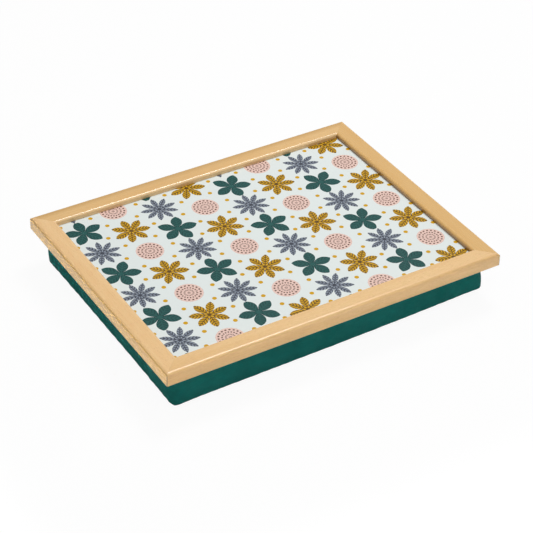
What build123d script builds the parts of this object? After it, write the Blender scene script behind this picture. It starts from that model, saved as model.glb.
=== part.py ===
from build123d import *
import os

# A lap tray: a mitred wooden frame round a printed board, stapled onto a bead-filled cushion.
# Sizes are in millimetres. The origin lies under the middle of the cushion, on the surface that
# it rests on. +X runs along the long side, -Y faces the front and +Z is up.

# Frame moulding
tray_length = 440.0
tray_width = 334.0
rail_width = 23.5
rail_height = 16.5
outer_edge_radius = 3.5
inner_edge_radius = 3.5
foot_edge_radius = 0.8
lip_width = 4.5
recess_depth = 6.5
fillet_limit_share = 0.9

# Board and printed sheet in the frame's rebate
print_thickness = 0.6
board_thickness = 3.0
board_clearance = 0.5

# Framer's points, pressed into the rebate wall under the board
point_length = 13.0
point_width = 6.0
point_thickness = 0.5
point_sunk_share = 0.5
point_shank_share = 0.6
long_rail_point_count = 3
short_rail_point_count = 2

# V-nails across the mitres, pressed in from below
v_nail_reach = 3.0
v_nail_spread = 4.0
v_nail_thickness = 0.6
v_nail_height = 7.0
v_nail_sink = 0.4
v_nail_place_shares = (0.24, 0.6)

# Tack strips and staples under the frame
strip_width = 5.0
strip_thickness = 1.2
strip_margin = 0.4
staple_crown = 10.0
staple_leg = 6.0
staple_wire_width = 1.2
staple_wire_thickness = 0.6
staple_pitch = 42.0

# Cushion cover: how deep it is, and how far its seam and its fullest part stand out past its hem
cushion_depth = 45.0
seam_height = 5.0
side_bulge = 2.0
seam_stand_out = 1.0
hem_corner_radius = 15.0
bulge_corner_radius = 19.0
seam_corner_radius = 9.0
hem_draw_in = 0.4
seam_draw_in = 1.8
bulge_bow = 1.2
cloth_thickness = 1.0
rest_flat_depth = 1.0
hem_fold_gap = 0.2
hem_edge_margin = 0.2

# Bead bag and beads
soft_clearance = 0.4
bag_thickness = 0.4
bag_neck_clearance = 0.8

# How far a cutting solid runs past what it cuts
overrun = 1.0

# The cushion's side from its seam up to the frame: shares of the side's height, of the way out
# from the seam to the fullest place, and of the way from the seam to the hem.
side_height_shares = (0.0, 0.22, 0.52, 0.8, 1.0)
side_bulge_shares = (0.0, 0.72, 1.0, 0.7, 0.0)
side_hem_shares = (0.0, 0.0, 0.0, 0.3, 1.0)

# The crown of the base, and of the bag's top under the board, from its edge in: shares of how far
# it falls or rises, and of half the tray's width.
crown_height_shares = (0.0, 0.5, 0.86, 1.0)
crown_inset_shares = (0.0, 0.075, 0.22, 0.52)

# Levels, widths and insets that follow from the sizes above
frame_bottom = cushion_depth
lip_underside = frame_bottom + rail_height - recess_depth
board_top = lip_underside - print_thickness
board_bottom = board_top - board_thickness
foot_width = rail_width - lip_width
board_length = tray_length - 2 * (foot_width + board_clearance)
board_width = tray_width - 2 * (foot_width + board_clearance)
strip_inset = foot_width - strip_margin - strip_width
hem_inset = strip_inset - hem_fold_gap - hem_draw_in - cloth_thickness
hem_edge_inset = foot_width - hem_edge_margin
bulge_inset = hem_inset - side_bulge
seam_inset = hem_inset - seam_stand_out
hem_bottom = frame_bottom - cloth_thickness
strip_bottom = hem_bottom - strip_thickness
staple_bottom = strip_bottom - staple_wire_thickness


def around_tray(make_side):
    """The front, right, back and left copies of what make_side(length, half_span) gives.

    make_side works on the front side, half_span in front of the middle.
    """
    turned = []
    for turn in range(4):
        is_long = turn % 2 == 0
        length = tray_length if is_long else tray_width
        half_span = (tray_width if is_long else tray_length) / 2
        turned.append(Rot(Z=90 * turn) * make_side(length, half_span))
    return turned


def spread(length, count):
    """The middles of count equal stretches of a length, measured from its middle."""
    step = length / count
    return [(index + 0.5) * step - length / 2 for index in range(count)]


def strip_length_on(length):
    """How long the tack strip is on a side of this length: it stops where the corners begin."""
    return length - 2 * (hem_inset + hem_corner_radius)


def rail_profile():
    """The moulding across its width: flat foot, rebate, lip and rounded top edges."""
    lip_height = rail_height - recess_depth
    inner_radius = min(inner_edge_radius, fillet_limit_share * recess_depth)
    outer_radius = min(outer_edge_radius, fillet_limit_share * foot_width)
    with BuildSketch() as profile:
        with BuildLine():
            Polyline(
                (foot_edge_radius, 0),
                (foot_width, 0),
                (foot_width, lip_height),
                (rail_width, lip_height),
                (rail_width, rail_height - inner_radius),
            )
            RadiusArc(
                (rail_width, rail_height - inner_radius),
                (rail_width - inner_radius, rail_height),
                -inner_radius,
            )
            Line((rail_width - inner_radius, rail_height), (outer_radius, rail_height))
            RadiusArc((outer_radius, rail_height), (0, rail_height - outer_radius), -outer_radius)
            Line((0, rail_height - outer_radius), (0, foot_edge_radius))
            RadiusArc((0, foot_edge_radius), (foot_edge_radius, 0), -foot_edge_radius)
        make_face()
    return profile.sketch


def front_moulding(length, half_span):
    """A length of moulding along the front, cut to a mitre at both ends."""
    across = Plane(
        origin=(-length / 2, -half_span, frame_bottom),
        x_dir=(0, 1, 0),
        z_dir=(1, 0, 0),
    )
    bar = extrude(across * rail_profile(), length)
    inner = length / 2 - rail_width
    with BuildSketch(Plane.XY.offset(frame_bottom)) as plan:
        with BuildLine():
            Polyline(
                (-length / 2, -half_span),
                (length / 2, -half_span),
                (inner, rail_width - half_span),
                (-inner, rail_width - half_span),
                close=True,
            )
        make_face()
    return bar & extrude(plan.sketch, rail_height)


def v_nail_outline():
    """A V-nail from above: its point on the mitre and its two wings, one in each rail."""
    with BuildSketch() as outline:
        with BuildLine():
            Polyline(
                (0, 0),
                (v_nail_reach, v_nail_spread),
                (v_nail_reach + v_nail_thickness, v_nail_spread),
                (v_nail_thickness, 0),
                (v_nail_reach + v_nail_thickness, -v_nail_spread),
                (v_nail_reach, -v_nail_spread),
                close=True,
            )
        make_face()
    return outline.sketch


def v_nails(low):
    """The V-nails of all four mitres, from a level up to their tops."""
    nail = extrude(v_nail_outline(), frame_bottom + v_nail_sink + v_nail_height - low)
    nails = []
    for side_x, side_y, angle in ((-1, -1, 45), (1, -1, 135), (1, 1, 225), (-1, 1, 315)):
        for share in v_nail_place_shares:
            x = side_x * (tray_length / 2 - share * foot_width)
            y = side_y * (tray_width / 2 - share * foot_width)
            nails.append(Pos(x, y, low) * Rot(Z=angle) * nail)
    return nails


def staple():
    """One staple: a crown along the rail and two legs that point up into it."""
    middle_low = (Align.CENTER, Align.CENTER, Align.MIN)
    crown = Box(staple_crown, staple_wire_width, staple_wire_thickness, align=middle_low)
    leg = Box(staple_wire_thickness, staple_wire_width, staple_leg, align=middle_low)
    leg_place = (staple_crown - staple_wire_thickness) / 2
    return crown + Pos(-leg_place, 0, 0) * leg + Pos(leg_place, 0, 0) * leg


def front_staples(length, half_span):
    """The row of staples through the front tack strip."""
    run = strip_length_on(length)
    count = max(2, round(run / staple_pitch))
    inset = strip_inset + strip_width / 2
    one = staple()
    return Compound([Pos(x, inset - half_span, staple_bottom) * one for x in spread(run, count)])


def front_strip(length, half_span):
    """The front tack strip, without its staple holes."""
    run = strip_length_on(length)
    strip = Box(run, strip_width, strip_thickness, align=(Align.CENTER, Align.MIN, Align.MIN))
    return Pos(0, strip_inset - half_span, strip_bottom) * strip


def front_points(length, half_span):
    """The framer's points along the front rebate, half in the wood and half under the board."""
    count = long_rail_point_count if length == tray_length else short_rail_point_count
    with BuildSketch() as blade:
        with BuildLine():
            Polyline(
                (-point_width / 2, 0),
                (point_width / 2, 0),
                (point_width / 2, -point_shank_share * point_length),
                (0, -point_length),
                (-point_width / 2, -point_shank_share * point_length),
                close=True,
            )
        make_face()
    one = extrude(blade.sketch, point_thickness)
    free_end = foot_width - half_span + (1 - point_sunk_share) * point_length
    low = board_bottom - point_thickness
    return Compound([Pos(x, free_end, low) * one for x in spread(length, count)])


def flat_sheet(thickness, low):
    """A sheet that fills the rebate in plan, less its clearance."""
    sheet = Box(board_length, board_width, thickness, align=(Align.CENTER, Align.CENTER, Align.MIN))
    return Pos(0, 0, low) * sheet


def cushion_section(height, inset, corner_radius, draw_in):
    """One level outline of the cushion: four corner arcs joined by four slightly bent sides.

    The sides bend in by draw_in at their middles, or out where it is negative.
    """
    end_x = tray_length / 2 - inset
    end_y = tray_width / 2 - inset
    turn_x = end_x - corner_radius
    turn_y = end_y - corner_radius
    with BuildSketch(Plane.XY.offset(height)) as outline:
        with BuildLine():
            ThreePointArc((end_x, -turn_y), (end_x - draw_in, 0), (end_x, turn_y))
            RadiusArc((end_x, turn_y), (turn_x, end_y), -corner_radius)
            ThreePointArc((turn_x, end_y), (0, end_y - draw_in), (-turn_x, end_y))
            RadiusArc((-turn_x, end_y), (-end_x, turn_y), -corner_radius)
            ThreePointArc((-end_x, turn_y), (draw_in - end_x, 0), (-end_x, -turn_y))
            RadiusArc((-end_x, -turn_y), (-turn_x, -end_y), -corner_radius)
            ThreePointArc((-turn_x, -end_y), (0, draw_in - end_y), (turn_x, -end_y))
            RadiusArc((turn_x, -end_y), (end_x, -turn_y), -corner_radius)
        make_face()
    return outline.sketch.face()


def side_value(at_seam, at_bulge, at_hem, bulge_share, hem_share):
    """A value on the cushion's side, between what it is at the seam, the bulge and the hem."""
    return at_seam + bulge_share * (at_bulge - at_seam) + hem_share * (at_hem - at_seam)


def cushion_side(skin, low, high):
    """The cushion's bulging side as a solid block from low to high, a skin in from its face."""
    sections = []
    for up, bulge, hem in zip(side_height_shares, side_bulge_shares, side_hem_shares):
        sections.append(
            cushion_section(
                low + up * (high - low),
                side_value(seam_inset, bulge_inset, hem_inset, bulge, hem) + skin,
                side_value(seam_corner_radius, bulge_corner_radius, hem_corner_radius, bulge, hem),
                side_value(seam_draw_in, -bulge_bow, hem_draw_in, bulge, hem),
            )
        )
    return loft(sections)


def cushion_crown(skin):
    """The cushion's crowned base as a solid dish below its seam, a skin in and up from its face."""
    sections = []
    for fall, inset_share in zip(crown_height_shares, crown_inset_shares):
        sections.append(
            cushion_section(
                seam_height + skin - fall * (seam_height + rest_flat_depth),
                seam_inset + skin + inset_share * tray_width / 2,
                seam_corner_radius,
                seam_draw_in * (1 - inset_share),
            )
        )
    return loft(sections)


def side_band():
    """The cloth band round the cushion, from its seam up to the hem that is folded in and stapled."""
    hollow = cushion_side(cloth_thickness, seam_height, hem_bottom)
    mouth_radius = hem_corner_radius - (hem_edge_inset - hem_inset)
    mouth = cushion_section(hem_bottom - overrun, hem_edge_inset, mouth_radius, hem_draw_in)
    band = cushion_side(0, seam_height, frame_bottom) - hollow
    return band - extrude(mouth, cloth_thickness + 2 * overrun)


def base_panel():
    """The crowned cloth panel under the beads, cut flat where it rests."""
    floor = Box(tray_length, tray_width, overrun, align=(Align.CENTER, Align.CENTER, Align.MAX))
    return cushion_crown(0) - cushion_crown(cloth_thickness) - floor


def bag_form(skin):
    """The bead bag as a solid, a skin in from its face: base, sides and the top under the board."""
    inward = cloth_thickness + soft_clearance + skin
    shoulder = staple_bottom - soft_clearance - skin
    neck_inset = foot_width + bag_neck_clearance + skin
    rise = board_bottom - soft_clearance - skin - shoulder
    sections = []
    for up, inset_share in zip(crown_height_shares, crown_inset_shares):
        sections.append(
            cushion_section(
                shoulder + up * rise,
                neck_inset + inset_share * tray_width / 2,
                seam_corner_radius,
                hem_draw_in,
            )
        )
    side = cushion_side(inward, seam_height + inward, shoulder)
    return cushion_crown(inward) + side + loft(sections)


def build_parts():
    """Every piece of the tray by the name of its node."""
    nail_slots = v_nails(frame_bottom - overrun)
    staples = around_tray(front_staples)
    points = around_tray(front_points)
    parts = {}
    side_names = ("front", "right", "back", "left")
    rails = around_tray(front_moulding)
    strips = around_tray(front_strip)
    for name, rail, strip, row, blades in zip(side_names, rails, strips, staples, points):
        parts[name + "_rail"] = rail - nail_slots - row - blades
        parts[name + "_tack_strip"] = strip - row
    parts["mitre_v_nails"] = Compound(v_nails(frame_bottom + v_nail_sink))
    parts["board_points"] = Compound(points)
    parts["tack_staples"] = Compound(staples)
    parts["printed_top_sheet"] = flat_sheet(print_thickness, board_top)
    parts["tray_board"] = flat_sheet(board_thickness, board_bottom)
    parts["cushion_side_band"] = side_band() - staples
    parts["cushion_base_panel"] = base_panel()
    parts["inner_bead_bag"] = bag_form(0) - bag_form(bag_thickness)
    parts["bead_filling"] = bag_form(bag_thickness + soft_clearance)
    return parts


os.makedirs("parts", exist_ok=True)
for node, shape in build_parts().items():
    export_step(shape, "parts/" + node + ".step")
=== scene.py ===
import bpy
import math
import numpy as np
from mathutils import Matrix, Vector


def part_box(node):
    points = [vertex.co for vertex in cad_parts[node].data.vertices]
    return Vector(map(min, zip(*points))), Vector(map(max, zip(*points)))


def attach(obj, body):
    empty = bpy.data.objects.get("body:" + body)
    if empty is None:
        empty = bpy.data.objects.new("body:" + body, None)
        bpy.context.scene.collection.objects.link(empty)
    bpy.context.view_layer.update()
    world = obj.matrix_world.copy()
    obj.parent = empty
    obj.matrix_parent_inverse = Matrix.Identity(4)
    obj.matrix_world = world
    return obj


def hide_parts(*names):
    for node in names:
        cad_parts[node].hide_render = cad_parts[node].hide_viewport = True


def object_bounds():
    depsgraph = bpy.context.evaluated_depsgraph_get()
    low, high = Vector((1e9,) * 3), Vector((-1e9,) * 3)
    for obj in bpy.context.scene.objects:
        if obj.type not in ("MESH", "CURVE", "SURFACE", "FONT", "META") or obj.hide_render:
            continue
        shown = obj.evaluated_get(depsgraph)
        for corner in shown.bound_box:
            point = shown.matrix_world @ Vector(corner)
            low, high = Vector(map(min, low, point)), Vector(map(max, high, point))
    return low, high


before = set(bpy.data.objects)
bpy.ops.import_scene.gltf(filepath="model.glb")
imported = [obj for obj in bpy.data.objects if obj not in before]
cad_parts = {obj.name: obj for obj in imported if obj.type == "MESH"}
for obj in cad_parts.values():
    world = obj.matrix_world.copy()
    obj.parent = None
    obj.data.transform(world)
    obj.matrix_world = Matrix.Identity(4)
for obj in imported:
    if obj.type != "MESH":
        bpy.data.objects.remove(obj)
cad_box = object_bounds()

# Camera
# It stands at the front left of the tray and looks down on it through a long lens. Its aim is
# given as a slide to the right and up from the middle of the frame's underside.
camera_turn = math.radians(-32.286)
camera_lift = math.radians(36.442)
camera_roll = math.radians(1.584)
camera_distance = 2.1597
camera_slide_right = 0.00444
camera_slide_up = -0.02297
lens_length = 124.38
sensor_size = 36.0
frame_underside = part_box("front_rail")[0].z


def place_camera():
    """Looks back along the line of sight, then turns right and up about it by the roll."""
    back = Vector((
        math.sin(camera_turn) * math.cos(camera_lift),
        -math.cos(camera_turn) * math.cos(camera_lift),
        math.sin(camera_lift),
    ))
    level_right = Vector((math.cos(camera_turn), math.sin(camera_turn), 0))
    level_up = back.cross(level_right)
    right = level_right * math.cos(camera_roll) + level_up * math.sin(camera_roll)
    up = level_up * math.cos(camera_roll) - level_right * math.sin(camera_roll)
    camera = bpy.data.objects.new("camera", bpy.data.cameras.new("camera"))
    bpy.context.scene.collection.objects.link(camera)
    camera.data.lens = lens_length
    camera.data.sensor_width = sensor_size
    place = back * camera_distance + right * camera_slide_right + up * camera_slide_up
    camera.matrix_world = Matrix.Translation(place + Vector((0, 0, frame_underside))) @ Matrix(
        (right, up, back)
    ).transposed().to_4x4()
    bpy.context.scene.camera = camera


place_camera()

# Frame rails
# Four lengths of beech moulding, mitred, glued and nailed at the corners and sprayed with a honey
# coloured satin lacquer. The grain runs along each rail, and a hairline shows where two meet.
rail_pale = (0.82, 0.54, 0.247, 1)
rail_honey = (0.755, 0.453, 0.177, 1)
rail_fleck = (0.66, 0.335, 0.165, 1)
# Painted shade: darkens the whole of the rails that get less light.
rail_painted_shade = (0.56, 0.29, 0.02, 1)
# Painted: a deeper, more orange tone that paints out the white floor's reflection on an outer side.
side_painted_out_reflection = (0.85, 0.44, 0.0, 1)
# Painted shade on the rim and the outer rounding, where they turn away from the lamps.
edge_painted_shade = (0.50, 0.27, 0.05, 1)
# Painted light on an inner wall that faces the lamps.
wall_painted_light = (0.95, 0.70, 0.40, 1)
# Painted shade at the foot of the inner wall, down in the recess.
foot_painted_shade = (0.24, 0.12, 0.035, 1)
mitre_dark = (0.17, 0.085, 0.03, 1)
# How much each rail takes of every painted tone: deep, painted shade all over; side, the tone on the
# outer side that paints out the floor's white reflection there; rim, painted shade on that side and the
# top next to it; edge, painted shade on the outer rounding; wall, painted light on the inner wall; and
# foot, painted shade at its base.
rail_shares = {
    "front_rail": {"deep": 0.10, "side": 0.0, "rim": 0.0, "edge": 0.0, "wall": 0.0, "foot": 0.4},
    "back_rail": {"deep": 0.36, "side": 0.0, "rim": 0.9, "edge": 0.2, "wall": 0.5, "foot": 0.0},
    "left_rail": {"deep": 0.0, "side": 0.55, "rim": 0.0, "edge": 0.6, "wall": 0.0, "foot": 0.4},
    "right_rail": {"deep": 0.54, "side": 0.0, "rim": 0.0, "edge": 0.5, "wall": 0.0, "foot": 1.0},
}
long_rails = ("front_rail", "back_rail")
short_rails = ("left_rail", "right_rail")
rounding = 0.0035
rim_width = 0.014
inner_wall_inset = 0.021
# How high the painted shade at the wall's foot reaches.
foot_painted_shade_height = 0.0065
# Where the band of painted shade on the outer rounding starts, is full, begins to thin and ends, in
# roundings below the top.
edge_band_shares = (0.90, 0.55, 0.40, 0.18)
mitre_line_width = 0.00060
mitre_line_core = 0.4
mitre_side_strength = 1.0
mitre_top_strength = 0.09
figure_pitch = 0.011
figure_run = 0.16
figure_roughness = 0.55
fibre_pitch = 0.0013
fibre_run = 0.009
fibre_roughness = 0.6
fibre_share = 1.1
fleck_pitch = 0.0014
fleck_run = 0.0046
fleck_share = 0.30
fleck_strength = 0.42
fleck_rim = (0.42, 0.2)
fleck_depth_share = 0.5
grain_range = (0.2, 0.8)
grain_depth = 0.000012
lacquer_roughness = (0.24, 0.31)
rail_gloss = {"Specular_IOR_Level": 0.4, "Coat_Weight": 0.5, "Coat_Roughness": 0.15}
shift_between_rails = 7.3


def give(tree, socket, value):
    """Links an input to another node's output, or sets its plain value."""
    if isinstance(value, bpy.types.NodeSocket):
        tree.links.new(value, socket)
    else:
        socket.default_value = value


def maths(tree, operation, *values):
    """The result of a Math node on numbers or sockets."""
    node = tree.nodes.new("ShaderNodeMath")
    node.operation = operation
    for place, value in enumerate(values):
        give(tree, node.inputs[place], value)
    return node.outputs["Value"]


def between(tree, value, low, high, start=0.0, end=1.0):
    """How far a value lies between low and high, eased at both ends and kept from start to end."""
    node = tree.nodes.new("ShaderNodeMapRange")
    node.interpolation_type = "SMOOTHSTEP"
    for name, given in (("Value", value), ("From Min", low), ("From Max", high)):
        give(tree, node.inputs[name], given)
    give(tree, node.inputs["To Min"], start)
    give(tree, node.inputs["To Max"], end)
    return node.outputs["Result"]


def mixed(tree, share, first, second):
    """Two colours mixed by a share, from all the first to all the second."""
    node = tree.nodes.new("ShaderNodeMix")
    node.data_type = "RGBA"
    arriving = {socket.identifier: socket for socket in node.inputs}
    leaving = {socket.identifier: socket for socket in node.outputs}
    give(tree, arriving["Factor_Float"], share)
    give(tree, arriving["A_Color"], first)
    give(tree, arriving["B_Color"], second)
    return leaving["Result_Color"]


def joined(tree, x, y, z):
    """Three numbers as one vector."""
    node = tree.nodes.new("ShaderNodeCombineXYZ")
    for place, value in enumerate((x, y, z)):
        give(tree, node.inputs[place], value)
    return node.outputs["Vector"]


def place_on(tree):
    """The point's own x, y and z on the object, in metres."""
    coordinates = tree.nodes.new("ShaderNodeTexCoord")
    parts = tree.nodes.new("ShaderNodeSeparateXYZ")
    tree.links.new(coordinates.outputs["Object"], parts.inputs["Vector"])
    return parts.outputs


def cloudy(tree, vector, detail, roughness):
    """Smooth noise about one unit across, from 0 to 1."""
    node = tree.nodes.new("ShaderNodeTexNoise")
    give(tree, node.inputs["Vector"], vector)
    node.inputs["Scale"].default_value = 1
    node.inputs["Detail"].default_value = detail
    node.inputs["Roughness"].default_value = roughness
    return node.outputs["Fac"]


def new_group(name, inputs, outputs):
    """An empty node group with these sockets: its tree, its inputs and its output node."""
    group = bpy.data.node_groups.new(name, "ShaderNodeTree")
    for socket, kind in inputs:
        group.interface.new_socket(socket, in_out="INPUT", socket_type=kind)
    for socket, kind in outputs:
        group.interface.new_socket(socket, in_out="OUTPUT", socket_type=kind)
    arriving = group.nodes.new("NodeGroupInput")
    leaving = group.nodes.new("NodeGroupOutput")
    return group, arriving.outputs, leaving.inputs


def use_group(tree, group, **values):
    """Places a node group in a material and gives it its values: its outputs are returned."""
    node = tree.nodes.new("ShaderNodeGroup")
    node.node_tree = group
    for name, value in values.items():
        give(tree, node.inputs[name], value)
    return node.outputs


def new_finish(name, **plain):
    """A material with a Principled shader whose plain values are set on its own sockets."""
    material = bpy.data.materials.new(name)
    material.use_nodes = True
    shader = material.node_tree.nodes["Principled BSDF"]
    for socket, value in plain.items():
        shader.inputs[socket.replace("_", " ")].default_value = value
    return material, material.node_tree, shader


def raise_surface(tree, shader, height, distance):
    """Feeds a height from 0 to 1, worth a distance in metres, to the shader's normal."""
    bump = tree.nodes.new("ShaderNodeBump")
    bump.inputs["Distance"].default_value = distance
    give(tree, bump.inputs["Height"], height)
    tree.links.new(bump.outputs["Normal"], shader.inputs["Normal"])


def finish_node(node, material):
    """Puts a material in every slot of a CAD node."""
    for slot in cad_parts[node].material_slots:
        slot.material = material


def beech_grain():
    """Grain of one rail: broad figure, fine fibres and short ray flecks, all stretched along it.

    Each is noise on (along / run, across / pitch, rise / pitch), moved by the rail's own shift.
    """
    number = "NodeSocketFloat"
    group, given, made = new_group(
        "beech_grain",
        [("Along", number), ("Across", number), ("Rise", number), ("Shift", number)],
        [("Colour", "NodeSocketColor"), ("Roughness", number), ("Height", number)],
    )

    def stretched(run, pitch):
        """The place along the grain in runs and across it in pitches."""
        along = maths(group, "MULTIPLY_ADD", given["Along"], 1 / run, given["Shift"])
        across = maths(group, "MULTIPLY", given["Across"], 1 / pitch)
        rise = maths(group, "MULTIPLY", given["Rise"], 1 / pitch)
        return joined(group, along, across, rise)

    figure = cloudy(group, stretched(figure_run, figure_pitch), 3, figure_roughness)
    fibre = cloudy(group, stretched(fibre_run, fibre_pitch), 2, fibre_roughness)
    tone = maths(group, "MULTIPLY_ADD", maths(group, "SUBTRACT", fibre, 0.5), fibre_share, figure)
    wood = mixed(group, between(group, tone, *grain_range), rail_pale, rail_honey)
    cells = group.nodes.new("ShaderNodeTexVoronoi")
    cells.inputs["Scale"].default_value = 1
    give(group, cells.inputs["Vector"], stretched(fleck_run, fleck_pitch))
    in_cell = between(group, cells.outputs["Distance"], *fleck_rim)
    random_colour = group.nodes.new("ShaderNodeSeparateColor")
    group.links.new(cells.outputs["Color"], random_colour.inputs["Color"])
    chosen = maths(group, "LESS_THAN", random_colour.outputs["Red"], fleck_share)
    flecks = maths(group, "MULTIPLY", in_cell, chosen)
    faint_flecks = maths(group, "MULTIPLY", flecks, fleck_strength)
    give(group, made["Colour"], mixed(group, faint_flecks, wood, rail_fleck))
    give(group, made["Roughness"], between(group, fibre, *grain_range, *lacquer_roughness))
    dips = maths(group, "MULTIPLY", flecks, fleck_depth_share)
    give(group, made["Height"], maths(group, "SUBTRACT", fibre, dips))
    return group


def mitre_joint():
    """The hairline between two rails: |x| - |y| there is half the tray's length less half its width.

    The lacquer fills it on top, so it is faint there and plain below the rounding of the edge.
    """
    number = "NodeSocketFloat"
    group, given, made = new_group("mitre_joint", [("Line", number)], [("Mask", number)])
    x, y, z = place_on(group)
    top = cad_box[1]
    apart = maths(group, "SUBTRACT", maths(group, "ABSOLUTE", x), maths(group, "ABSOLUTE", y))
    apart = maths(group, "ABSOLUTE", maths(group, "SUBTRACT", apart, top.x - top.y))
    core = maths(group, "MULTIPLY", given["Line"], mitre_line_core)
    line = between(group, apart, given["Line"], core)
    below, above = top.z - rounding, top.z - rounding / 2
    strength = between(group, z, below, above, mitre_side_strength, mitre_top_strength)
    give(group, made["Mask"], maths(group, "MULTIPLY", line, strength))
    return group


def inner_wall():
    """The inner wall, for painted light, and its foot at the board, for painted shade fading upwards."""
    number = "NodeSocketFloat"
    group, _, made = new_group("inner_wall", [], [("Wall", number), ("Foot", number)])
    x, y, z = place_on(group)
    board_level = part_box("printed_top_sheet")[1].z
    inside = [
        maths(group, "LESS_THAN", maths(group, "ABSOLUTE", place), reach - inner_wall_inset)
        for place, reach in ((x, cad_box[1].x), (y, cad_box[1].y))
    ]
    wall = maths(group, "MULTIPLY", *inside)
    fade = between(group, z, board_level + foot_painted_shade_height, board_level)
    give(group, made["Wall"], wall)
    give(group, made["Foot"], maths(group, "MULTIPLY", wall, fade))
    return group


def outer_edge():
    """The middle of the outer rounding, where painted shade lies: a band by height."""
    group, _, made = new_group("outer_edge", [], [("Mask", "NodeSocketFloat")])
    x, y, z = place_on(group)
    low, low_end, high, high_end = (cad_box[1].z - share * rounding for share in edge_band_shares)
    band = maths(group, "MULTIPLY", between(group, z, low, low_end), between(group, z, high_end, high))
    beyond = [
        maths(group, "GREATER_THAN", maths(group, "ABSOLUTE", place), reach - rounding)
        for place, reach in ((x, cad_box[1].x), (y, cad_box[1].y))
    ]
    give(group, made["Mask"], maths(group, "MULTIPLY", band, maths(group, "MAXIMUM", *beyond)))
    return group


def outer_rim():
    """The rail's outer side by itself, and the rim: that side and the top next to it, dying off."""
    number = "NodeSocketFloat"
    group, _, made = new_group("outer_rim", [], [("Side", number), ("Rim", number)])
    x, y, _ = place_on(group)
    from_sides = [
        maths(group, "SUBTRACT", reach, maths(group, "ABSOLUTE", place))
        for place, reach in ((x, cad_box[1].x), (y, cad_box[1].y))
    ]
    nearest = maths(group, "MINIMUM", *from_sides)
    give(group, made["Side"], between(group, nearest, rounding / 2, 0.0))
    give(group, made["Rim"], between(group, nearest, rim_width, 0.0))
    return group


def finish_rails():
    """Lacquered beech on each rail, with the grain along x on the long ones and along y on the short.

    The lamps light the rails unevenly, so each has its own shares of painted shade and painted light.
    """
    grain = beech_grain()
    joint = mitre_joint()
    rim, edge, wall = outer_rim(), outer_edge(), inner_wall()
    for shift, node in enumerate(long_rails + short_rails):
        material, tree, shader = new_finish("lacquered_beech_" + node, **rail_gloss)
        x, y, z = place_on(tree)
        along, across = (x, y) if node in long_rails else (y, x)
        shift_along = shift * shift_between_rails
        wood = use_group(tree, grain, Along=along, Across=across, Rise=z, Shift=shift_along)
        hairline = use_group(tree, joint, Line=mitre_line_width)["Mask"]
        shares = rail_shares[node]
        # Painted shade over the whole rail, by the rail's share.
        colour = mixed(tree, shares["deep"], wood["Colour"], rail_painted_shade)
        outside = use_group(tree, rim)
        inside = use_group(tree, wall)
        # Painted shade and light, and the tone that paints out the floor's reflection, each laid by its
        # mask.
        painted_tones = (
            ("side", outside["Side"], side_painted_out_reflection),
            ("rim", outside["Rim"], edge_painted_shade),
            ("edge", use_group(tree, edge)["Mask"], edge_painted_shade),
            ("wall", inside["Wall"], wall_painted_light),
            ("foot", inside["Foot"], foot_painted_shade),
        )
        for place, mask, painted_tone in painted_tones:
            colour = mixed(tree, maths(tree, "MULTIPLY", mask, shares[place]), colour, painted_tone)
        give(tree, shader.inputs["Base Color"], mixed(tree, hairline, colour, mitre_dark))
        give(tree, shader.inputs["Roughness"], wood["Roughness"])
        raise_surface(tree, shader, wood["Height"], grain_depth)
        finish_node(node, material)


finish_rails()

# Printed sheet
# A thin decor sheet, printed and laminated, bonded to the board: a satin, wipe-clean surface. Its
# pattern is blossoms, daisies, sunbursts and round flower heads on a staggered grid, each turned
# its own way, with small seeds between them. The sizes in the pattern are in millimetres.
print_ground = (0.735, 0.785, 0.768, 1)
print_teal = (0.0060, 0.052, 0.049, 1)
print_teal_rib = (0.013, 0.085, 0.077, 1)
print_mustard = (0.60, 0.330, 0.006, 1)
print_mustard_rib = (0.11, 0.055, 0.006, 1)
print_grey = (0.235, 0.270, 0.330, 1)
print_grey_rib = (0.045, 0.052, 0.070, 1)
print_blush = (0.78, 0.56, 0.49, 1)
print_blush_rib = (0.110, 0.045, 0.030, 1)
millimetres = 1000
cell_across = 50.0
cell_down = 46.0
# The reach, petals, fullness, rib pitch and two colours of the first three kinds of motif.
blossoms = {
    "blossom": (24.5, 5.0, 0.36, 4.4, print_teal, print_teal_rib),
    "daisy": (23.5, 7.0, 0.32, 4.0, print_mustard, print_mustard_rib),
    "sunburst": (23.0, 9.0, 0.36, 4.0, print_grey, print_grey_rib),
}
midrib_half = 0.45
rib_slant = -1.1
rib_share = 0.4
head_kind = len(blossoms)
head_radius = 16.5
head_ring_pitch = 4.1
head_ring_share = 0.5
head_dashes = 18
head_dash_share = 0.5
kinds = len(blossoms) + 1
kinds_between_rows = 2
kind_margin = 0.1
seed_across = (cell_across**2 - (cell_down / 2) ** 2) / (2 * cell_across)
seed_radius = 2.7
print_finish = {"Roughness": 0.45, "Specular_IOR_Level": 0.12}


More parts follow.
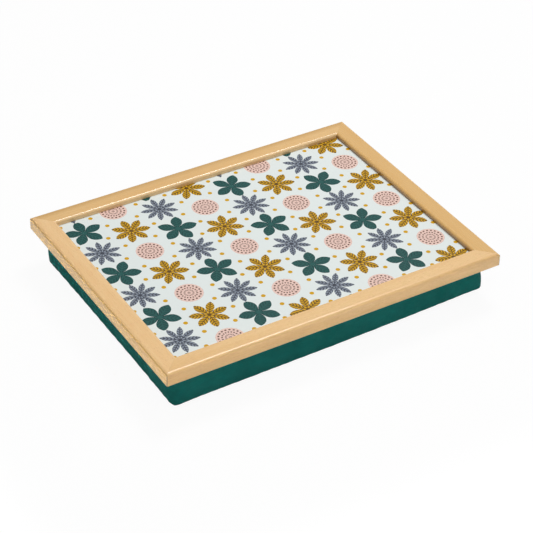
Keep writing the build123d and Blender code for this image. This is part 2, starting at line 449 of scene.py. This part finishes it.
def blossom_print():
    """Pointed petals round a point, with a midrib and side ribs.

    The share s of the way from a petal's middle to its edge runs from 0 to 1 with the angle. The
    petal reaches to reach * (1 - s) ** fullness, and its ribs slant away from the midrib.
    """
    number = "NodeSocketFloat"
    names = ("Radius", "Angle", "Reach", "Petals", "Fullness", "Rib Pitch")
    group, given, made = new_group(
        "blossom_print",
        [(name, number) for name in names],
        [("Shape", number), ("Ribs", number)],
    )
    turns = maths(group, "DIVIDE", maths(group, "MULTIPLY", given["Angle"], given["Petals"]), math.tau)
    off_middle = maths(group, "SUBTRACT", maths(group, "FRACT", turns), 0.5)
    off_middle = maths(group, "MULTIPLY", maths(group, "ABSOLUTE", off_middle), 2)
    fall = maths(group, "POWER", maths(group, "SUBTRACT", 1.0, off_middle), given["Fullness"])
    edge = maths(group, "MULTIPLY", given["Reach"], fall)
    shape = maths(group, "LESS_THAN", given["Radius"], edge)
    swing = maths(group, "DIVIDE", maths(group, "MULTIPLY", off_middle, math.pi), given["Petals"])
    from_midrib = maths(group, "MULTIPLY", given["Radius"], maths(group, "SINE", swing))
    midrib = maths(group, "LESS_THAN", from_midrib, midrib_half)
    slant = maths(group, "MULTIPLY_ADD", from_midrib, rib_slant, given["Radius"])
    slant = maths(group, "FRACT", maths(group, "DIVIDE", slant, given["Rib Pitch"]))
    side_ribs = maths(group, "LESS_THAN", slant, rib_share)
    ribs = maths(group, "MAXIMUM", midrib, side_ribs)
    give(group, made["Shape"], shape)
    give(group, made["Ribs"], maths(group, "MULTIPLY", shape, ribs))
    return group


def staggered_cells(tree):
    """The grid's column and row under a point, and the point's place from the cell's middle.

    The rows of odd columns are dropped by half a cell.
    """
    x, y, _ = place_on(tree)
    column_place = maths(tree, "MULTIPLY", x, millimetres / cell_across)
    column = maths(tree, "FLOOR", column_place)
    dropped = maths(tree, "MULTIPLY", maths(tree, "FLOORED_MODULO", column, 2.0), 0.5)
    row_place = maths(tree, "MULTIPLY_ADD", y, millimetres / cell_down, dropped)
    row = maths(tree, "FLOOR", row_place)
    across = maths(tree, "SUBTRACT", maths(tree, "FRACT", column_place), 0.5)
    down = maths(tree, "SUBTRACT", maths(tree, "FRACT", row_place), 0.5)
    across = maths(tree, "MULTIPLY", across, cell_across)
    down = maths(tree, "MULTIPLY", down, cell_down)
    return column, row, across, down


def length_of(tree, across, down):
    """The distance from the middle: the root of both squares' sum."""
    squares = maths(tree, "ADD", maths(tree, "POWER", across, 2.0), maths(tree, "POWER", down, 2.0))
    return maths(tree, "SQRT", squares)


def finish_print():
    """Lays one motif in each cell, and a seed as far as can be from the three motifs nearest to it.

    A round flower head is rings of dashes, and those of every other ring are half a pitch on.
    """
    material, tree, shader = new_finish("printed_laminate", **print_finish)
    column, row, across, down = staggered_cells(tree)
    kind = maths(tree, "MULTIPLY_ADD", row, kinds_between_rows, column)
    kind = maths(tree, "FLOORED_MODULO", kind, kinds)
    chance = tree.nodes.new("ShaderNodeTexWhiteNoise")
    chance.noise_dimensions = "2D"
    give(tree, chance.inputs["Vector"], joined(tree, column, row, 0.0))
    radius = length_of(tree, across, down)
    angle = maths(tree, "ARCTAN2", down, across)
    angle = maths(tree, "MULTIPLY_ADD", chance.outputs["Value"], math.tau, angle)
    petals = blossom_print()
    colour = print_ground
    for number, motif in enumerate(blossoms.values()):
        reach, count, fullness, pitch, petal_colour, rib_colour = motif
        given = {"Radius": radius, "Angle": angle, "Reach": reach, "Petals": count}
        made = use_group(tree, petals, **given, **{"Fullness": fullness, "Rib Pitch": pitch})
        here = maths(tree, "COMPARE", kind, number, kind_margin)
        colour = mixed(tree, maths(tree, "MULTIPLY", made["Shape"], here), colour, petal_colour)
        colour = mixed(tree, maths(tree, "MULTIPLY", made["Ribs"], here), colour, rib_colour)
    here = maths(tree, "COMPARE", kind, head_kind, kind_margin)
    head = maths(tree, "MULTIPLY", maths(tree, "LESS_THAN", radius, head_radius), here)
    ring_place = maths(tree, "DIVIDE", radius, head_ring_pitch)
    rings = maths(tree, "LESS_THAN", maths(tree, "FRACT", ring_place), head_ring_share)
    shift = maths(tree, "MULTIPLY", maths(tree, "FLOOR", ring_place), 0.5)
    dash_place = maths(tree, "MULTIPLY_ADD", angle, head_dashes / math.tau, shift)
    dashes = maths(tree, "LESS_THAN", maths(tree, "FRACT", dash_place), head_dash_share)
    dashes = maths(tree, "MULTIPLY", maths(tree, "MULTIPLY", rings, dashes), head)
    colour = mixed(tree, dashes, mixed(tree, head, colour, print_blush), print_blush_rib)
    seed_x = maths(tree, "SUBTRACT", maths(tree, "ABSOLUTE", across), seed_across)
    seed_y = maths(tree, "SUBTRACT", maths(tree, "ABSOLUTE", down), cell_down / 2)
    seeds = maths(tree, "LESS_THAN", length_of(tree, seed_x, seed_y), seed_radius)
    colour = mixed(tree, seeds, colour, print_mustard)
    give(tree, shader.inputs["Base Color"], colour)
    finish_node("printed_top_sheet", material)


finish_print()

# Board, fasteners and tack strips
# Brown fibreboard under the sheet, steel nails, points and staples, and grey-brown card strips.
# All of them are hidden once the tray is made up.
board_light = (0.40, 0.24, 0.115, 1)
board_dark = (0.30, 0.17, 0.08, 1)
steel_light = (0.58, 0.58, 0.58, 1)
steel_dark = (0.44, 0.44, 0.45, 1)
card_light = (0.42, 0.35, 0.25, 1)
card_dark = (0.33, 0.27, 0.19, 1)
steel_pieces = ("mitre_v_nails", "board_points", "tack_staples")
card_pieces = ("front_tack_strip", "back_tack_strip", "left_tack_strip", "right_tack_strip")
# Each finish: two tones, speckles to a metre, roughness, how metallic it is, and its pieces.
inner_finishes = {
    "fibreboard": (board_light, board_dark, 1400, 0.85, 0.0, ("tray_board",)),
    "bright_steel": (steel_light, steel_dark, 600, 0.35, 1.0, steel_pieces),
    "pressed_card": (card_light, card_dark, 900, 0.9, 0.0, card_pieces),
}
speckle_roughness = 0.6
speckle_range = (0.3, 0.7)
speckle_depth = 0.00005


def scaled_place(tree, fineness):
    """The point's own place times a fineness, for noise that is that many cells to a metre."""
    return joined(tree, *[maths(tree, "MULTIPLY", part, fineness) for part in place_on(tree)])


def finish_inner_pieces():
    """A speckled finish on each hidden piece: noise mixes its two tones and lifts its surface."""
    for name, (light, dark, fineness, roughness, metallic, nodes) in inner_finishes.items():
        material, tree, shader = new_finish(name, Roughness=roughness, Metallic=metallic)
        speckle = cloudy(tree, scaled_place(tree, fineness), 3, speckle_roughness)
        share = between(tree, speckle, *speckle_range)
        give(tree, shader.inputs["Base Color"], mixed(tree, share, dark, light))
        raise_surface(tree, shader, speckle, speckle_depth)
        for node in nodes:
            finish_node(node, material)


finish_inner_pieces()

# Cushion cover
# A deep teal cotton cover: a band round the sides, sewn to a crowned base panel and turned in
# under the frame, where it is stapled. The beads push it out between its held edges, and it hangs
# a little unevenly: its corners are lowest, and the left side is lower and further in.
cover_columns = 88
cover_rows = 68
cover_thickness = 0.0008
edge_crowding_share = 0.5
half_length = cad_box[1].x
half_width = cad_box[1].y
left_inset = 0.0125
right_inset = 0.0100
front_inset = 0.0102
back_inset = 0.0120
side_fullness = 0.0012
side_fullness_power = 0.8
turn_start_share = 0.35
# The rings of cells up the sides, as shares of the way from the seam to the hem's turn.
side_rise_shares = np.array([0.0, 0.03, 0.07, 0.13, 0.22, 0.34, 0.47, 0.6, 0.73, 0.85, 0.94, 1.0])
last_ring = len(side_rise_shares) - 1
hem_rings = 3
hem_inset = 0.0120
hem_turn_inset = 0.0128
hem_end_inset = 0.0184
hem_height = frame_underside - 0.0002
hem_turn_height = hem_height - 0.0009
corner_round = 0.012
corner_round_full = 0.017
corner_round_half_waves = 0.75
corner_ear = 0.0003
ear_power = 12
corner_drop = 0.0028
corner_drop_power = 16
crown_power = 9.0
seam_draw = 0.0006
seam_low = 0.0047
seam_rise_right = 0.0074
seam_rise_back = 0.0008
seam_hold = 0.97
seam_margin = 0.000001
puff = {"pressure": 4.0, "frames": 20, "limit": 0.0024}
puff_cloth = {
    "quality": 6,
    "mass": 0.3,
    "tension_stiffness": 25,
    "compression_stiffness": 25,
    "shear_stiffness": 12,
    "bending_stiffness": 3.0,
    "pin_stiffness": 4,
    "shrink_min": -0.008,
}
groove_depth = 0.0003
groove_half = 0.0010
ridge_height = 0.0002
ridge_place = 0.0028
ridge_half = 0.0016
pucker_height = 0.00005
pucker_reach = 0.009
pucker_pitch = 0.0125
# The puckers wander along x and along y: by how many radians, and in a wave of how many to a metre.
pucker_wander = ((1.3, 31), (1.7, 43))
# The wrinkles: a wave along x and up, one along y and up, each with its start, and a finer one: its
# share of their height, and its wave along x - y and up. All are in radians, and to a metre.
wrinkle_height = 0.00035
wrinkle_across = (23, 61, 0.8)
wrinkle_along = (17, -44, 2.1)
fine_wrinkle = (0.5, 57, 90)
wrinkle_fade = 0.012
cover_dark = (0.0082, 0.134, 0.118, 1)
cover_light = (0.0112, 0.168, 0.148, 1)
cover_finish = {"Roughness": 0.85, "Specular_IOR_Level": 0.06, "Sheen_Weight": 0.02}
cover_tone_range = (0.25, 0.75)
cloud_size = 0.03
cloud_detail = 5
cloud_roughness = 0.74
yarn_pitch = 0.00055
yarn_dip = 0.4
slub_run = 0.012
slub_share = 0.5
level_cloth = 0.7
weave_depth = 0.00012


def crowded(count):
    """Places from -1 to 1, closer together near both ends.

    For t from 0 to 1 they are 2 * (t - edge_crowding_share * sin(2 pi t) / (2 pi)) - 1.
    """
    t = np.linspace(0, 1, count + 1)
    return 2 * (t - edge_crowding_share * np.sin(2 * np.pi * t) / (2 * np.pi)) - 1


def grid_box(columns, rows, rings, lidded):
    """A box of square cells: a bottom sheet, rings of cells up its sides and, if lidded, a top sheet.

    Every point has u and v from -1 to 1 across the box and the number of its ring, 0 on the bottom.
    """
    across, down = crowded(columns), crowded(rows)
    sheet_v, sheet_u = (part.ravel() for part in np.meshgrid(down, across, indexing="ij"))
    sheet = np.arange(sheet_u.size).reshape(rows + 1, columns + 1)
    edge = np.concatenate((sheet[0, :-1], sheet[:-1, -1], sheet[-1, :0:-1], sheet[:0:-1, 0]))
    u, v, ring = [sheet_u], [sheet_v], [np.zeros(sheet_u.size)]
    walls = [edge]
    for number in range(1, rings + 1):
        walls.append(sheet_u.size + (number - 1) * edge.size + np.arange(edge.size))
        u.append(sheet_u[edge])
        v.append(sheet_v[edge])
        ring.append(np.full(edge.size, float(number)))
    corners = (sheet[:-1, :-1], sheet[1:, :-1], sheet[1:, 1:], sheet[:-1, 1:])
    faces = [np.stack(corners, -1).reshape(-1, 4)]
    for low, high in zip(walls[:-1], walls[1:]):
        faces.append(np.stack((low, np.roll(low, -1), np.roll(high, -1), high), -1))
    if lidded:
        lid = np.full(sheet.shape, -1)
        inner = sheet[1:-1, 1:-1].ravel()
        first = sheet_u.size + rings * edge.size
        lid[1:-1, 1:-1] = (first + np.arange(inner.size)).reshape(rows - 1, columns - 1)
        lid.ravel()[edge] = walls[-1]
        u.append(sheet_u[inner])
        v.append(sheet_v[inner])
        ring.append(np.full(inner.size, rings + 1.0))
        corners = (lid[:-1, :-1], lid[:-1, 1:], lid[1:, 1:], lid[1:, :-1])
        faces.append(np.stack(corners, -1).reshape(-1, 4))
    return np.concatenate(u), np.concatenate(v), np.concatenate(ring), np.concatenate(faces)


def on_plan(u, v, insets, radius, draw, ear):
    """Carries u and v onto the cushion's plan: a rectangle with round corners and drawn-in sides.

    In the corner squares, offsets p and q from the arc's centre, as shares of its radius, become
    p * sqrt(1 - q * q / 2) and q * sqrt(1 - p * p / 2), which bends the square's edges to the arc.
    The sides then move in by draw * (1 - place along them squared), and the corners out by ear.
    """
    left, right, front, back = insets
    half = (half_length - (left + right) / 2, half_width - (front + back) / 2)
    middle = ((left - right) / 2, (front - back) / 2)
    places = (u * half[0], v * half[1])
    p, q = (np.maximum(np.abs(at) - (size - radius), 0) / radius for at, size in zip(places, half))
    bent = (p * np.sqrt(1 - q * q / 2), q * np.sqrt(1 - p * p / 2))
    plan = []
    for at, size, share, shift, other in zip(places, half, bent, middle, (v, u)):
        rounded = np.minimum(np.abs(at), size - radius) + radius * share
        pulled = 1 - draw * (1 - other**2) / size + ear * (u * v) ** ear_power / size
        plan.append(np.sign(at) * rounded * pulled + shift)
    return plan


def eased(share):
    """A share from 0 to 1 that leaves 0 and reaches 1 gently."""
    share = np.clip(share, 0, 1)
    return share * share * (3 - 2 * share)


def seam_height(u, v):
    """The base seam's height: low at the left, and up by the cube of the way right.

    At the left it also rises a little towards the back, and at the corners it drops by
    corner_drop * (u * v) ** corner_drop_power.
    """
    right, back = (u + 1) / 2, (v + 1) / 2
    rise = seam_rise_right * right**3 + seam_rise_back * back * (1 - right)
    return seam_low + rise - corner_drop * (u * v) ** corner_drop_power


def crown(u, v):
    """1 at the edge and nearly 0 over the middle: 1 - (1 - |u|^n) * (1 - |v|^n)."""
    return 1 - (1 - np.abs(u) ** crown_power) * (1 - np.abs(v) ** crown_power)


def side_insets(share, skin):
    """The share of the turn towards the hem that is made at a share of the height, and how far in
    the left, right, front and back sides stand there.

    Between seam and hem they swell by a sine of that share, raised to side_fullness_power.
    """
    turn = eased((share - turn_start_share) / (1 - turn_start_share))
    full = np.sin(np.pi * share) ** side_fullness_power * side_fullness
    at_seam = (left_inset, right_inset, front_inset, back_inset)
    return turn, [inset * (1 - turn) + hem_inset * turn - full + skin for inset in at_seam]


def cover_shape(u, v, ring):
    """The cover before it is filled: base, sides up to the frame, and the hem turned in under it.

    The corners' radius grows from the seam as a sine of the share of the height, so that it is
    largest a little above half way.
    """
    share = np.interp(ring, np.arange(last_ring + 1), side_rise_shares)
    hem_steps = (last_ring, last_ring + 1, last_ring + hem_rings)
    in_hem = np.interp(ring, hem_steps, (0, hem_turn_inset - hem_inset, hem_end_inset - hem_inset))
    turn, insets = side_insets(share, in_hem)
    swell = np.sin(np.pi * share * corner_round_half_waves)
    radius = corner_round + (corner_round_full - corner_round) * swell - in_hem
    x, y = on_plan(u, v, insets, radius, seam_draw * (1 - turn), corner_ear * (1 - turn))
    seam = seam_height(u, v)
    side = seam + share * (hem_turn_height - seam)
    z = np.where(ring == 0, seam * crown(u, v), np.where(ring > last_ring, hem_height, side))
    return np.stack((x, y, z), -1)


def new_piece(name, points, faces, finish):
    """A smooth-shaded mesh object at the origin, in metres."""
    mesh = bpy.data.meshes.new(name)
    mesh.from_pydata(points.tolist(), [], faces.tolist())
    mesh.shade_smooth()
    piece = bpy.data.objects.new(name, mesh)
    bpy.context.scene.collection.objects.link(piece)
    mesh.materials.append(finish)
    return piece


def read_points(mesh):
    """A mesh's points as an array of x, y and z."""
    flat = np.zeros(len(mesh.vertices) * 3, np.float32)
    mesh.vertices.foreach_get("co", flat)
    return flat.reshape(-1, 3).astype(float)


def write_points(mesh, points):
    """Puts points back into a mesh, none of them under the floor."""
    points[:, 2] = np.maximum(points[:, 2], 0)
    mesh.vertices.foreach_set("co", points.astype(np.float32).ravel())
    mesh.update()


def filled_out(piece, held, pressure, frames, limit):
    """Fills a cover with pressure while its held points stay, and caps how far a point may move.

    A point that would move by d moves by limit * tanh(d / limit).
    """
    start = read_points(piece.data)
    group = piece.vertex_groups.new(name="held")
    for index in np.flatnonzero(held > 0):
        group.add([int(index)], float(held[index]), "REPLACE")
    cloth = piece.modifiers.new("puff", "CLOTH")
    settings = cloth.settings
    for name, value in puff_cloth.items():
        setattr(settings, name, value)
    settings.use_pressure = True
    settings.uniform_pressure_force = pressure
    settings.effector_weights.gravity = 0
    settings.vertex_group_mass = group.name
    cloth.point_cache.frame_start = 1
    cloth.point_cache.frame_end = frames
    for number in range(1, frames + 1):
        bpy.context.scene.frame_set(number)
    full = piece.evaluated_get(bpy.context.evaluated_depsgraph_get())
    moved = read_points(full.data) - start
    piece.modifiers.remove(cloth)
    bpy.context.scene.frame_set(1)
    far = np.maximum(np.linalg.norm(moved, axis=1, keepdims=True), np.finfo(float).tiny)
    write_points(piece.data, start + moved * (limit * np.tanh(far / limit) / far))


def bump_at(distance, middle, half):
    """A smooth bump of height 1 round a place: exp(-((distance - middle) / half)^2)."""
    return np.exp(-(((distance - middle) / half) ** 2))


def sewn(mesh):
    """Moves the filled cover along its normals: wrinkles, and the seam with its ridges and puckers.

    The puckers are waves along x - y, which runs on round every corner, and die off from the seam.
    The wrinkles are one wave times another plus a finer one, and die off at the seam and the hem.
    """
    points = read_points(mesh)
    normals = np.zeros(points.size, np.float32)
    mesh.vertices.foreach_get("normal", normals)
    from_seam = np.zeros(len(points), np.float32)
    mesh.attributes["from_seam"].data.foreach_get("value", from_seam)
    x, y, z = points.T
    phase = math.tau * (x - y) / pucker_pitch
    for place, (much, wave) in zip((x, y), pucker_wander):
        phase += much * np.sin(wave * place)
    away = np.abs(from_seam)
    rise = -groove_depth * bump_at(from_seam, 0, groove_half)
    rise += ridge_height * bump_at(away, ridge_place, ridge_half)
    rise += pucker_height * np.sin(phase) * np.exp(-away / pucker_reach)
    slow = 1.0
    for place, (wave, wave_up, begin) in ((x, wrinkle_across), (y, wrinkle_along)):
        slow = slow * np.sin(wave * place + wave_up * z + begin)
    fine_share, wave, wave_up = fine_wrinkle
    slow = slow + fine_share * np.sin(wave * (x - y) + wave_up * z)
    open_side = np.clip((frame_underside - z) / wrinkle_fade, 0, 1)
    rise += wrinkle_height * slow * open_side * np.clip(away / pucker_reach, 0, 1)
    write_points(mesh, points + normals.reshape(-1, 3) * rise[:, None])


def plain_weave():
    """Plain weave on the plane that the cloth faces most: yarns cross over and under by turns.

    Across a yarn it is 1 - a^2 high, along it 1 - yarn_dip * b^2, and in every other square the
    two directions change places. A slub is a stretch of yarn that is lighter or darker.
    """
    number = "NodeSocketFloat"
    group, given, made = new_group(
        "plain_weave",
        [("Pitch", number), ("Slub Run", number)],
        [("Height", number), ("Slub", number)],
    )
    x, y, z = place_on(group)
    faced = group.nodes.new("ShaderNodeSeparateXYZ")
    coordinates = group.nodes.new("ShaderNodeTexCoord")
    group.links.new(coordinates.outputs["Normal"], faced.inputs["Vector"])
    facing = [maths(group, "ABSOLUTE", part) for part in faced.outputs]
    level = maths(group, "GREATER_THAN", facing[2], level_cloth)
    endways = maths(group, "GREATER_THAN", facing[0], facing[1])
    endways = maths(group, "MULTIPLY", endways, maths(group, "SUBTRACT", 1.0, level))
    places = (
        maths(group, "MULTIPLY_ADD", maths(group, "SUBTRACT", y, x), endways, x),
        maths(group, "MULTIPLY_ADD", maths(group, "SUBTRACT", y, z), level, z),
    )
    yarns = [maths(group, "DIVIDE", place, given["Pitch"]) for place in places]
    counts = [maths(group, "FLOOR", yarn) for yarn in yarns]
    halves = [maths(group, "SUBTRACT", maths(group, "FRACT", yarn), 0.5) for yarn in yarns]
    squares = [maths(group, "POWER", maths(group, "MULTIPLY", half, 2.0), 2.0) for half in halves]
    tops = []
    for over, under in ((squares[0], squares[1]), (squares[1], squares[0])):
        round_yarn = maths(group, "SUBTRACT", 1.0, over)
        dipping_yarn = maths(group, "MULTIPLY_ADD", under, -yarn_dip, 1.0)
        tops.append(maths(group, "MULTIPLY", round_yarn, dipping_yarn))
    turn = maths(group, "FLOORED_MODULO", maths(group, "ADD", counts[0], counts[1]), 2.0)
    height = maths(group, "MULTIPLY_ADD", maths(group, "SUBTRACT", tops[1], tops[0]), turn, tops[0])
    give(group, made["Height"], height)
    run = maths(group, "DIVIDE", places[0], given["Slub Run"])
    give(group, made["Slub"], cloudy(group, joined(group, run, counts[1], 0.0), 1, 0.5))
    return group


def teal_cloth():
    """Deep teal cotton: a fine plain weave whose yarns vary a little, with soft broad clouding."""
    material, tree, shader = new_finish("teal_cotton", **cover_finish)
    weave = use_group(tree, plain_weave(), **{"Pitch": yarn_pitch, "Slub Run": slub_run})
    cloud = cloudy(tree, scaled_place(tree, 1 / cloud_size), cloud_detail, cloud_roughness)
    tone = maths(tree, "MULTIPLY_ADD", maths(tree, "SUBTRACT", weave["Slub"], 0.5), slub_share, cloud)
    share = between(tree, tone, *cover_tone_range)
    give(tree, shader.inputs["Base Color"], mixed(tree, share, cover_dark, cover_light))
    raise_surface(tree, shader, weave["Height"], weave_depth)
    return material


def made_finer(piece):
    """Gives a piece the mesh that one step of subdivision makes of it."""
    smooth = piece.modifiers.new("smooth", "SUBSURF")
    smooth.levels = smooth.render_levels = 1
    shown = piece.evaluated_get(bpy.context.evaluated_depsgraph_get())
    finer = bpy.data.meshes.new_from_object(shown)
    piece.modifiers.remove(smooth)
    piece.data = finer


def make_cover():
    """Builds the cover, fills it, smooths and sews it, and gives it the cloth's thickness.

    Each point stores its distance from the seam, which is negative on the base.
    """
    u, v, ring, faces = grid_box(cover_columns, cover_rows, last_ring + hem_rings, False)
    piece = new_piece("cushion_cover", cover_shape(u, v, ring), faces, teal_cloth())
    share = np.interp(ring, np.arange(last_ring + 1), side_rise_shares)
    inward = (np.maximum(np.abs(u), np.abs(v)) - 1) * half_width
    from_seam = np.where(ring == 0, inward, share * hem_height)
    seam_store = piece.data.attributes.new("from_seam", "FLOAT", "POINT")
    seam_store.data.foreach_set("value", from_seam.astype(np.float32))
    at_seam = (ring == 0) & (inward > -seam_margin)
    held = np.where(ring >= last_ring - 1, 1.0, np.where(at_seam, seam_hold, 0.0))
    filled_out(piece, held, **puff)
    made_finer(piece)
    sewn(piece.data)
    wall = piece.modifiers.new("cloth", "SOLIDIFY")
    wall.thickness = cover_thickness
    wall.offset = -1
    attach(piece, "root")
    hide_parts("cushion_side_band", "cushion_base_panel")


make_cover()

# Bead bag and beads
# The beads fill a thin white lining bag, which lies crumpled against the inside of the cover and
# domes up under the board. Both are hidden once the tray is made up.
bag_columns = 64
bag_rows = 50
bag_rings = 8
bag_wall = 0.0003
bag_skin = 0.0032
beads_skin = 0.0044
bag_shoulder = 0.0402
bag_top = 0.0507
dome_power = 5
# The crumples: two waves, each along u and along v, and a finer one: its share of their height, and
# its wave from ring to ring and along u - v. All are in radians.
crumple_height = 0.0006
crumples_across = (170, 41)
crumples_along = (37, -139)
fine_crumple = (0.6, 23, 67)
bag_white = (0.78, 0.78, 0.76, 1)
bag_grey = (0.66, 0.66, 0.64, 1)
bag_roughness = 0.85
bag_clouds = 90.0
bag_fibres = 1500.0
bag_noise_roughness = 0.6
bag_tone_range = (0.3, 0.7)
bag_fibre_depth = 0.00008
bead_white = (0.90, 0.90, 0.90, 1)
# Painted shade: the grey where shade falls between the beads.
bead_gap_painted_shade = (0.62, 0.63, 0.64, 1)
bead_size = 0.0032
bead_roughness = 0.7
bead_rim = (0.6, 0.1)
bead_depth = 0.0008


def filling_shape(u, v, ring, skin):
    """The space in the cover, a skin in from it: crowned base, sides and a low dome on top.

    The dome rises by (1 - |u|^n) * (1 - |v|^n), and crumples move the sides in by up to twice
    their height: one wave times another, plus a finer one.
    """
    share = np.clip(ring / bag_rings, 0, 1)
    top = bag_shoulder - skin + bag_skin
    waves = 1.0
    for wave_u, wave_v in (crumples_across, crumples_along):
        waves = waves * np.sin(wave_u * u + wave_v * v)
    fine_share, wave_up, wave = fine_crumple
    waves = waves + fine_share * np.sin(wave_up * ring + wave * (u - v))
    inward = skin + crumple_height * (1 + waves / (1 + fine_share))
    turn, insets = side_insets(share * top / hem_height, inward)
    x, y = on_plan(u, v, insets, corner_round, seam_draw * (1 - turn), 0.0)
    seam = seam_height(u, v) + skin
    low = skin + (seam - skin) * crown(u, v)
    dome = (1 - np.abs(u) ** dome_power) * (1 - np.abs(v) ** dome_power)
    high = top + dome * (bag_top - bag_shoulder)
    z = np.where(ring == 0, low, np.where(ring > bag_rings, high, seam + share * (top - seam)))
    return np.stack((x, y, z), -1)


def bag_lining():
    """Thin white nonwoven: a short random fibre on a soft grey cloud."""
    material, tree, shader = new_finish("white_lining", Roughness=bag_roughness)
    cloud = cloudy(tree, scaled_place(tree, bag_clouds), 3, bag_noise_roughness)
    fibre = cloudy(tree, scaled_place(tree, bag_fibres), 2, bag_noise_roughness)
    share = between(tree, cloud, *bag_tone_range)
    give(tree, shader.inputs["Base Color"], mixed(tree, share, bag_grey, bag_white))
    raise_surface(tree, shader, fibre, bag_fibre_depth)
    return material


def loose_beads():
    """White foam beads: round cells, lighter in their middles, with painted shade in the gaps."""
    material, tree, shader = new_finish("foam_beads", Roughness=bead_roughness)
    cells = tree.nodes.new("ShaderNodeTexVoronoi")
    cells.inputs["Scale"].default_value = 1
    give(tree, cells.inputs["Vector"], scaled_place(tree, 1 / bead_size))
    roundness = between(tree, cells.outputs["Distance"], *bead_rim)
    give(tree, shader.inputs["Base Color"], mixed(tree, roundness, bead_gap_painted_shade, bead_white))
    raise_surface(tree, shader, roundness, bead_depth)
    return material


def make_filling():
    """The bag with its thin wall, and the mass of beads inside it."""
    u, v, ring, faces = grid_box(bag_columns, bag_rows, bag_rings, True)
    bag = new_piece("bead_bag", filling_shape(u, v, ring, bag_skin), faces, bag_lining())
    wall = bag.modifiers.new("lining", "SOLIDIFY")
    wall.thickness = bag_wall
    wall.offset = -1
    beads = new_piece("beads", filling_shape(u, v, ring, beads_skin), faces, loose_beads())
    for piece, node, slot in ((bag, "inner_bead_bag", "bag_cloth"), (beads, "bead_filling", "beads")):
        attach(piece, "root")
        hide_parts(node)


make_filling()

# Floor and studio
# A pale floor under soft lamps. Where only the camera or a reflection looks, the floor and the
# space round it are lifted to white, and the tray's own soft shadow stays on the floor.
floor_size = 6.0
floor_white = (0.86, 0.86, 0.86, 1)
floor_roughness = 0.9
floor_lift = 0.94
room_strength = 0.28
# Each lamp: its name, its place, its width and height, and its watts. A wash lamp's place is on
# the plan, and it hangs at the height that all of them share.
lamps = (
    ("key", (-0.36, -0.50, 1.22), 0.9, 0.9, 4.8),
    ("gloss", (0.76, 0.58, 1.94), 0.54, 0.84, 26.0),
)
wash_lamps = (
    ("left_wash", (-0.82, -0.10), 0.5, 0.9, 15.0),
    ("front_wash", (0.10, -0.78), 1.1, 0.5, 14.0),
)
wash_height = 0.45
wash_spread = math.radians(50)


def seen_or_mirrored(tree):
    """1 for camera, glossy and transmission rays and 0 for the rays that light things."""
    path = tree.nodes.new("ShaderNodeLightPath")
    either = maths(tree, "MAXIMUM", path.outputs["Is Camera Ray"], path.outputs["Is Glossy Ray"])
    return maths(tree, "MAXIMUM", either, path.outputs["Is Transmission Ray"])


def lay_floor():
    """A square at the level that the cushion rests on. Seen from below it is clear."""
    half = floor_size / 2
    corners = np.array([(-half, -half, 0), (half, -half, 0), (half, half, 0), (-half, half, 0)])
    finish = {"Base_Color": floor_white, "Roughness": floor_roughness}
    material, tree, shader = new_finish("studio_floor", **finish)
    glow = tree.nodes.new("ShaderNodeEmission")
    lifted = tree.nodes.new("ShaderNodeMixShader")
    give(tree, lifted.inputs["Fac"], maths(tree, "MULTIPLY", seen_or_mirrored(tree), floor_lift))
    tree.links.new(shader.outputs["BSDF"], lifted.inputs[1])
    tree.links.new(glow.outputs["Emission"], lifted.inputs[2])
    clear = tree.nodes.new("ShaderNodeBsdfTransparent")
    side = tree.nodes.new("ShaderNodeNewGeometry")
    whole = tree.nodes.new("ShaderNodeMixShader")
    tree.links.new(side.outputs["Backfacing"], whole.inputs["Fac"])
    tree.links.new(lifted.outputs["Shader"], whole.inputs[1])
    tree.links.new(clear.outputs["BSDF"], whole.inputs[2])
    tree.links.new(whole.outputs["Shader"], tree.nodes["Material Output"].inputs["Surface"])
    new_piece("floor", corners, np.array([[0, 1, 2, 3]]), material)


def hang_lamp(name, place, aim, width, height, watts):
    """One soft rectangular lamp at a place, facing a point."""
    lamp = bpy.data.lights.new(name, "AREA")
    lamp.shape = "RECTANGLE"
    lamp.size = width
    lamp.size_y = height
    lamp.energy = watts
    holder = bpy.data.objects.new(name, lamp)
    bpy.context.scene.collection.objects.link(holder)
    holder.location = place
    holder.rotation_euler = (Vector(aim) - Vector(place)).to_track_quat("-Z", "Y").to_euler()
    return lamp


def hang_lamps():
    """Two lamps face the tray. The wash lamps face the floor beside it, whose glow lights its sides."""
    for name, place, width, height, watts in lamps:
        hang_lamp(name, place, (0, 0, 0), width, height, watts)
    for name, (x, y), width, height, watts in wash_lamps:
        wash = hang_lamp(name, (x, y, wash_height), (x, y, 0), width, height, watts)
        wash.spread = wash_spread


def light_room():
    """White round the tray where it is seen or mirrored, and a plain level of light elsewhere."""
    world = bpy.data.worlds.new("studio")
    world.use_nodes = True
    tree = world.node_tree
    strength = between(tree, seen_or_mirrored(tree), 0.0, 1.0, room_strength, 1.0)
    give(tree, tree.nodes["Background"].inputs["Color"], (1, 1, 1, 1))
    give(tree, tree.nodes["Background"].inputs["Strength"], strength)
    bpy.context.scene.world = world
    bpy.context.scene.view_settings.view_transform = "Standard"


lay_floor()
hang_lamps()
light_room()
